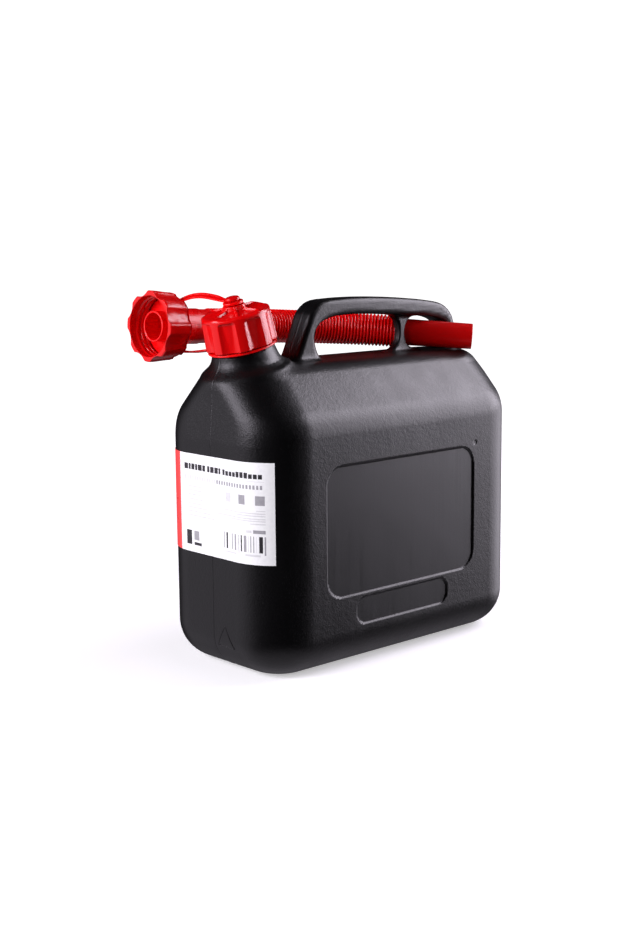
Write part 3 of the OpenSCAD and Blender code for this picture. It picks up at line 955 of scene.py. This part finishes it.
def disc(name, radius, z, rings, colour, emit, albedo):
    g = np.linspace(0, 2 * pi, 96, endpoint=False)
    V = [(0, 0, z)]
    F = []
    for k, r in enumerate(np.linspace(radius / rings, radius, rings)):
        V += [(r * math.cos(a), r * math.sin(a), z) for a in g]
        for i in range(96):
            j = (i + 1) % 96
            if k == 0:
                F.append((0, 1 + i, 1 + j))
            else:
                o, q = 1 + (k - 1) * 96, 1 + k * 96
                F.append((o + i, q + i, q + j, o + j))
    mesh = bpy.data.meshes.new(name)
    mesh.from_pydata(V, [], F)
    ob = bpy.data.objects.new(name, mesh)
    bpy.context.scene.collection.objects.link(ob)
    mat = bpy.data.materials.new(name)
    mat.use_nodes = True
    p = mat.node_tree.nodes["Principled BSDF"]
    p.inputs["Base Color"].default_value = (*albedo, 1)
    p.inputs["Roughness"].default_value = 0.9
    p.inputs["Specular IOR Level"].default_value = 0.0
    p.inputs["Emission Color"].default_value = (*colour, 1)
    p.inputs["Emission Strength"].default_value = emit
    mesh.materials.append(mat)
    return ob


floor = disc("floor", 14.0, -0.0002, 14, (1.0, 0.99, 1.0), 0.70, (0.80, 0.79, 0.82))
ft = floor.data.materials[0].node_tree
fp = ft.nodes["Principled BSDF"]
ftc = ft.nodes.new("ShaderNodeTexCoord")
flen = ft.nodes.new("ShaderNodeVectorMath")
flen.operation = "LENGTH"
ft.links.new(ftc.outputs["Object"], flen.inputs[0])
framp = ft.nodes.new("ShaderNodeMapRange")
framp.interpolation_type = "SMOOTHSTEP"
framp.inputs["From Min"].default_value = 0.32
framp.inputs["From Max"].default_value = 1.30
framp.inputs["To Min"].default_value = 0.42
framp.inputs["To Max"].default_value = 1.15
ft.links.new(flen.outputs["Value"], framp.inputs["Value"])
ft.links.new(framp.outputs["Result"], fp.inputs["Emission Strength"])
floor.visible_glossy = False
floor.visible_diffuse = False


def backdrop():
    """a plain white shell far round everything, seen by the camera only"""
    n, m = 64, 24
    V, F = [], []
    for j in range(m + 1):
        e = -pi / 2 + pi * j / m
        V += [(16 * math.cos(e) * math.cos(2 * pi * i / n), 16 * math.cos(e) * math.sin(2 * pi * i / n), 16 * math.sin(e))
              for i in range(n)]
    for j in range(m):
        for i in range(n):
            k = (i + 1) % n
            F.append((j * n + i, j * n + k, (j + 1) * n + k, (j + 1) * n + i))
    mesh = bpy.data.meshes.new("backdrop")
    mesh.from_pydata(V, [], F)
    ob = bpy.data.objects.new("backdrop", mesh)
    bpy.context.scene.collection.objects.link(ob)
    mat = bpy.data.materials.new("backdrop")
    mat.use_nodes = True
    t = mat.node_tree
    t.nodes.clear()
    e = t.nodes.new("ShaderNodeEmission")
    e.inputs["Color"].default_value = (1, 1, 1, 1)
    e.inputs["Strength"].default_value = 1.1
    o = t.nodes.new("ShaderNodeOutputMaterial")
    t.links.new(e.outputs[0], o.inputs[0])
    mesh.materials.append(mat)
    ob.visible_diffuse = ob.visible_glossy = ob.visible_transmission = ob.visible_shadow = False
    ob.visible_volume_scatter = False


backdrop()

# the studio: a dim room with soft boxes, as patches of the world's light
world = bpy.data.worlds.new("studio")
bpy.context.scene.world = world
world.use_nodes = True
t = world.node_tree
t.nodes.clear()
out = t.nodes.new("ShaderNodeOutputWorld")
bg = t.nodes.new("ShaderNodeBackground")
t.links.new(bg.outputs[0], out.inputs[0])
tc = t.nodes.new("ShaderNodeTexCoord")


def patch(direction, inner_deg, outer_deg, strength):
    d = Vector(direction).normalized()
    dot = t.nodes.new("ShaderNodeVectorMath")
    dot.operation = "DOT_PRODUCT"
    dot.inputs[1].default_value = d
    t.links.new(tc.outputs["Generated"], dot.inputs[0])
    mr = t.nodes.new("ShaderNodeMapRange")
    mr.interpolation_type = "SMOOTHSTEP"
    mr.inputs["From Min"].default_value = math.cos(math.radians(outer_deg))
    mr.inputs["From Max"].default_value = math.cos(math.radians(inner_deg))
    mr.inputs["To Min"].default_value = 0
    mr.inputs["To Max"].default_value = strength
    t.links.new(dot.outputs["Value"], mr.inputs["Value"])
    return mr.outputs["Result"]


PATCHES = [((-0.68, 0.73, -0.22), 14, 46, 0.54), ((0.0, 0.0, -1.0), 28, 66, 0.50)]
total = None
for q in PATCHES:
    o = patch(*q)
    if total is None:
        total = o
    else:
        a = t.nodes.new("ShaderNodeMath")
        a.operation = "ADD"
        t.links.new(total, a.inputs[0])
        t.links.new(o, a.inputs[1])
        total = a.outputs[0]
a = t.nodes.new("ShaderNodeMath")
a.operation = "ADD"
a.inputs[1].default_value = 0.01
t.links.new(total, a.inputs[0])
t.links.new(a.outputs[0], bg.inputs["Strength"])
bg.inputs["Color"].default_value = (1.0, 0.94, 1.06, 1)


def softbox(name, at, look_at, size_x, size_y, power, colour=(1, 1, 1)):
    data = bpy.data.lights.new(name, "AREA")
    data.shape = "RECTANGLE"
    data.size, data.size_y = size_x, size_y
    data.energy = power
    data.color = colour
    ob = bpy.data.objects.new(name, data)
    bpy.context.scene.collection.objects.link(ob)
    ob.location = at
    ob.rotation_euler = (Vector(look_at) - Vector(at)).to_track_quat("-Z", "Y").to_euler()
    return ob


def reflector(name, corners, ramps, strength):
    """an upright card that only gloss sees, fading in along X, Y, Z or a slant of X and Z"""
    mesh = bpy.data.meshes.new(name)
    mesh.from_pydata(corners, [], [(0, 1, 2, 3)])
    ob = bpy.data.objects.new(name, mesh)
    bpy.context.scene.collection.objects.link(ob)
    mat = bpy.data.materials.new(name)
    mat.use_nodes = True
    t = mat.node_tree
    t.nodes.clear()
    tc = t.nodes.new("ShaderNodeTexCoord")
    value = None
    for axis, a, b in ramps:
        along = t.nodes.new("ShaderNodeVectorMath")
        along.operation = "DOT_PRODUCT"
        along.inputs[1].default_value = axis
        t.links.new(tc.outputs["Object"], along.inputs[0])
        ramp = t.nodes.new("ShaderNodeMapRange")
        ramp.interpolation_type = "SMOOTHSTEP"
        ramp.inputs["From Min"].default_value = a
        ramp.inputs["From Max"].default_value = b
        ramp.inputs["To Min"].default_value = 0.0
        ramp.inputs["To Max"].default_value = strength if value is None else 1.0
        t.links.new(along.outputs["Value"], ramp.inputs["Value"])
        if value is None:
            value = ramp.outputs["Result"]
        else:
            mul = t.nodes.new("ShaderNodeMath")
            mul.operation = "MULTIPLY"
            t.links.new(value, mul.inputs[0])
            t.links.new(ramp.outputs["Result"], mul.inputs[1])
            value = mul.outputs[0]
    e = t.nodes.new("ShaderNodeEmission")
    e.inputs["Color"].default_value = (*TINT, 1)
    t.links.new(value, e.inputs["Strength"])
    o = t.nodes.new("ShaderNodeOutputMaterial")
    t.links.new(e.outputs[0], o.inputs[0])
    mat.cycles.emission_sampling = "NONE"
    mesh.materials.append(mat)
    ob.visible_camera = ob.visible_diffuse = ob.visible_transmission = ob.visible_shadow = False
    ob.visible_volume_scatter = False


TINT = (1.0, 0.94, 1.06)
reflector("right_card", [(0.7, -1.4, -0.8), (3.6, -1.4, -0.8), (3.6, -1.4, 0.6), (0.7, -1.4, 0.6)],
          (((1, 0, 0.78), 1.10, 1.55), ((0, 0, 1), -0.66, 0.02), ((0, 0, 1), 0.60, 0.30)), 5.4)
reflector("rear_card", [(1.5, -1.0, -0.7), (1.5, 0.5, -0.7), (1.5, 0.5, 0.3), (1.5, -1.0, 0.3)],
          (((0, 0, 1), -0.7, -0.2), ((0, 1, 0), 0.5, 0.0)), 2.6)
softbox("right_box", (0.92, -0.42, 0.68), (0, 0, 0.14), 0.85, 0.95, 18, TINT)
softbox("left_box", (-1.28, 0.43, 0.68), (-0.1, 0, 0.18), 0.85, 0.75, 12.5, TINT)
# two fills that light without a reflection
for name, at, size, power in (("left_fill", (-1.48, 0.10, 0.62), 1.2, 22), ("near_fill", (0.30, -1.42, 0.60), 1.0, 4)):
    softbox(name, at, (0, 0, 0.15), size, size, power).visible_glossy = False

bpy.context.scene.view_settings.view_transform = "Standard"
